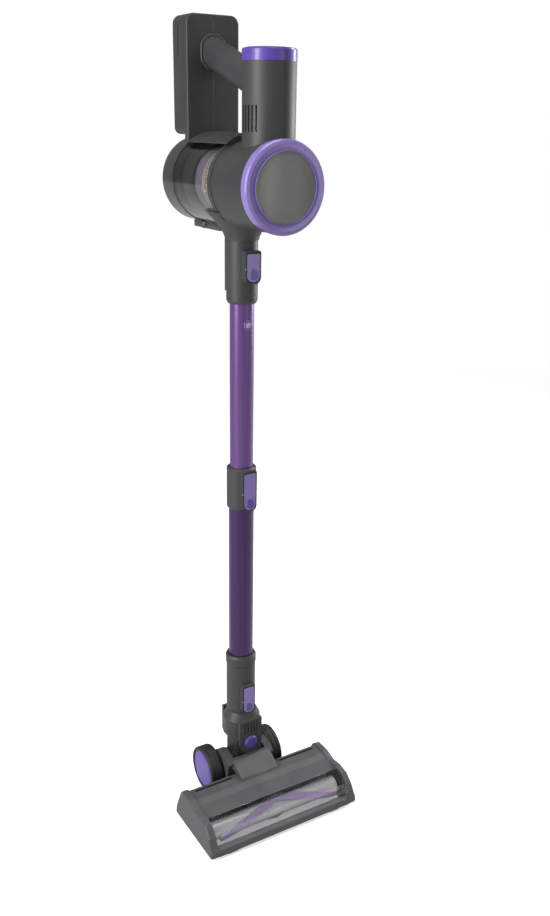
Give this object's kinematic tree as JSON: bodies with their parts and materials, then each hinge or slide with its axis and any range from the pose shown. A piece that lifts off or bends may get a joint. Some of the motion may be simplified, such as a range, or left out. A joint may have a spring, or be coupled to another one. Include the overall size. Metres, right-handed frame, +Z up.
{
  "type": "cordless stick vacuum",
  "caption": "Upright cordless stick vacuum: hand unit with clear dust cup, telescopic wand, and swivelling powered floor head on wheels.",
  "frame": {"origin": "on the floor, midway between the front of the floor head and the back of the cup lid, 7.5 mm in front of the middle of the wand", "axes": "+Z up along the wand; the floor head points to -Y and the battery to +Y; +X to the left of someone facing the front"},
  "size_m": [0.2444, 0.261, 1.0839],
  "materials": {
    "housing_grey": "fine matt moulded grain",
    "head_grey": "satin moulded grain",
    "trim_purple": "smooth gloss",
    "button_purple": "smooth gloss",
    "upper_tube_purple": "satin anodised tube",
    "lower_tube_purple": "satin anodised tube, darker",
    "disc_black": "satin, brushed look",
    "clear_cup": "clear polycarbonate",
    "clear_window": "clear polycarbonate",
    "lid_smoke": "dark smoke gloss",
    "filter_cloth": "pleated filter media",
    "shroud_purple": "perforated cyclone shroud",
    "skirt_black": "matt",
    "rubber_black": "soft matt rubber",
    "tyre_black": "soft tread",
    "brush_silver": "silver grey roller",
    "bristle_lilac": "tufted strips",
    "steel": "turned steel",
    "cell_wrap": "shrink wrap",
    "display_black": "dark display window",
    "battery_grey": "fine matt moulded grain"
  },
  "bodies": {
    "floor_head": {"head_cover": "head_grey", "head_window": "clear_window", "sole_plate": "head_grey", "front_lip": "head_grey", "end_cap_left": "head_grey", "end_cap_right": "head_grey", "front_glides": "rubber_black", "brush_motor": "skirt_black", "drive_belt": "rubber_black", "cradle": "head_grey", "wheel_axles": "steel"},
    "brush": {"brush_roll": "brush_silver", "brush_strips": "bristle_lilac"},
    "brush_drive": {"motor_pulley": "steel"},
    "wheel_left": {"tyre_left": "tyre_black", "wheel_hub_left": "trim_purple"},
    "wheel_right": {"tyre_right": "tyre_black", "wheel_hub_right": "trim_purple"},
    "neck": {"neck_block": "skirt_black", "neck_screws": "steel", "swivel_pin": "steel"},
    "yoke": {"yoke": "housing_grey", "wand_socket": "housing_grey", "swivel_cap": "trim_purple"},
    "socket_button": {"socket_button": "button_purple"},
    "lower_wand": {"lower_tube": "lower_tube_purple", "telescope_collar": "housing_grey"},
    "telescope_button": {"telescope_button": "button_purple"},
    "upper_wand": {"upper_tube": "upper_tube_purple"},
    "wand_detent": {"wand_detent": "steel"},
    "hand_unit": {"inlet_neck": "housing_grey", "motor_housing": "housing_grey", "motor_case": "skirt_black", "tower_shell": "housing_grey", "tower_cap": "trim_purple", "display": "display_black", "handle_left": "housing_grey", "handle_right": "housing_grey"},
    "neck_button": {"neck_button": "button_purple"},
    "fan": {"fan_rotor": "brush_silver"},
    "front_cover": {"front_ring": "trim_purple", "front_disc": "disc_black", "exhaust_filter": "filter_cloth"},
    "power_button": {"power_button": "display_black"},
    "mode_button": {"mode_button": "display_black"},
    "lock_ring": {"lock_ring": "housing_grey"},
    "dust_cup": {"dust_cup": "clear_cup", "cup_pins": "steel"},
    "cup_lid": {"cup_lid": "lid_smoke", "lid_seal": "rubber_black"},
    "lid_latch": {"lid_latch": "lid_smoke"},
    "filter": {"filter_cartridge": "filter_cloth", "cyclone_shroud": "shroud_purple", "shroud_skirt": "skirt_black"},
    "battery": {"battery_case": "battery_grey", "battery_cover": "battery_grey", "battery_cells": "cell_wrap", "charge_jack": "steel"},
    "battery_clip_left": {"battery_clip_left": "battery_grey"},
    "battery_clip_right": {"battery_clip_right": "battery_grey"}
  },
  "joints": [
    {"name": "brush_spin", "type": "hinge", "parent": "floor_head", "child": "brush", "pos_m": [0, -0.09703, 0.0222], "axis": [1, 0, 0], "continuous": true},
    {"name": "brush_drive_spin", "type": "hinge", "parent": "floor_head", "child": "brush_drive", "pos_m": [0.1044, -0.05452, 0.027], "axis": [1, 0, 0], "continuous": true},
    {"name": "wheel_left_spin", "type": "hinge", "parent": "floor_head", "child": "wheel_left", "pos_m": [-0.05, 0.01748, 0.034], "axis": [1, 0, 0], "continuous": true},
    {"name": "wheel_right_spin", "type": "hinge", "parent": "floor_head", "child": "wheel_right", "pos_m": [0.05, 0.01748, 0.034], "axis": [1, 0, 0], "continuous": true},
    {"name": "neck_pitch", "type": "hinge", "parent": "floor_head", "child": "neck", "pos_m": [0, -0.00052, 0.048], "axis": [-1, 0, 0], "range_deg": [0, 80]},
    {"name": "neck_swivel", "type": "hinge", "parent": "neck", "child": "yoke", "pos_m": [0, 0.00747, 0.088], "axis": [0, 1, 0], "range_deg": [-40, 40]},
    {"name": "socket_release", "type": "hinge", "parent": "yoke", "child": "socket_button", "pos_m": [0, -0.01642, 0.15595], "axis": [1, 0, 0], "range_deg": [0, 5], "stiffness_Nm_per_rad": 0.3, "springref_deg": -11.46},
    {"name": "wand_pull", "type": "slide", "parent": "yoke", "child": "lower_wand", "axis": [0, 0, 1], "range_m": [0, 0.06]},
    {"name": "telescope_release", "type": "hinge", "parent": "lower_wand", "child": "telescope_button", "pos_m": [0, -0.01542, 0.4849], "axis": [1, 0, 0], "range_deg": [0, 5], "stiffness_Nm_per_rad": 0.3, "springref_deg": -11.46},
    {"name": "telescope", "type": "slide", "parent": "lower_wand", "child": "upper_wand", "axis": [0, 0, -1], "range_m": [0, 0.19]},
    {"name": "detent_press", "type": "slide", "parent": "upper_wand", "child": "wand_detent", "axis": [0, 1, 0], "range_m": [0, 0.0012], "stiffness_N_per_m": 800, "springref_m": -0.001},
    {"name": "hand_unit_pull", "type": "slide", "parent": "upper_wand", "child": "hand_unit", "axis": [0, 0, 1], "range_m": [0, 0.05]},
    {"name": "neck_release", "type": "hinge", "parent": "hand_unit", "child": "neck_button", "pos_m": [0, -0.02092, 0.78753], "axis": [1, 0, 0], "range_deg": [0, 5], "stiffness_Nm_per_rad": 0.3, "springref_deg": -11.46},
    {"name": "fan_spin", "type": "hinge", "parent": "hand_unit", "child": "fan", "pos_m": [0, -0.04253, 0.889], "axis": [0, 1, 0], "continuous": true},
    {"name": "front_cover_pull", "type": "slide", "parent": "hand_unit", "child": "front_cover", "axis": [0, -1, 0], "range_m": [0, 0.025]},
    {"name": "power_press", "type": "slide", "parent": "hand_unit", "child": "power_button", "axis": [0, 0, -1], "range_m": [0, 0.001], "stiffness_N_per_m": 900, "springref_m": -0.0008},
    {"name": "mode_press", "type": "slide", "parent": "hand_unit", "child": "mode_button", "axis": [0, 0, -1], "range_m": [0, 0.001], "stiffness_N_per_m": 900, "springref_m": -0.0008},
    {"name": "lock_ring_turn", "type": "hinge", "parent": "hand_unit", "child": "lock_ring", "pos_m": [0, -0.00592, 0.889], "axis": [0, 1, 0], "range_deg": [0, 20]},
    {"name": "cup_pull", "type": "slide", "parent": "hand_unit", "child": "dust_cup", "axis": [0, 1, 0], "range_m": [0, 0.13]},
    {"name": "lid_swing", "type": "hinge", "parent": "dust_cup", "child": "cup_lid", "pos_m": [0, 0.09748, 0.8304], "axis": [-1, 0, 0], "range_deg": [0, 95]},
    {"name": "latch_press", "type": "hinge", "parent": "dust_cup", "child": "lid_latch", "pos_m": [0.0564, 0.08947, 0.889], "axis": [0, 0, -1], "range_deg": [0, 6], "stiffness_Nm_per_rad": 0.05, "springref_deg": -11.46},
    {"name": "filter_pull", "type": "slide", "parent": "hand_unit", "child": "filter", "axis": [0, 1, 0], "range_m": [0, 0.012]},
    {"name": "battery_pull", "type": "slide", "parent": "hand_unit", "child": "battery", "axis": [0, 1, 0], "range_m": [0, 0.035]},
    {"name": "battery_clip_left_press", "type": "slide", "parent": "battery", "child": "battery_clip_left", "axis": [1, 0, 0], "range_m": [0, 0.0012], "stiffness_N_per_m": 900, "springref_m": -0.0008},
    {"name": "battery_clip_right_press", "type": "slide", "parent": "battery", "child": "battery_clip_right", "axis": [-1, 0, 0], "range_m": [0, 0.0012], "stiffness_N_per_m": 900, "springref_m": -0.0008}
  ],
  "couplings": [
    {"joint": "brush_drive_spin", "follows": "brush_spin", "ratio": 2}
  ]
}
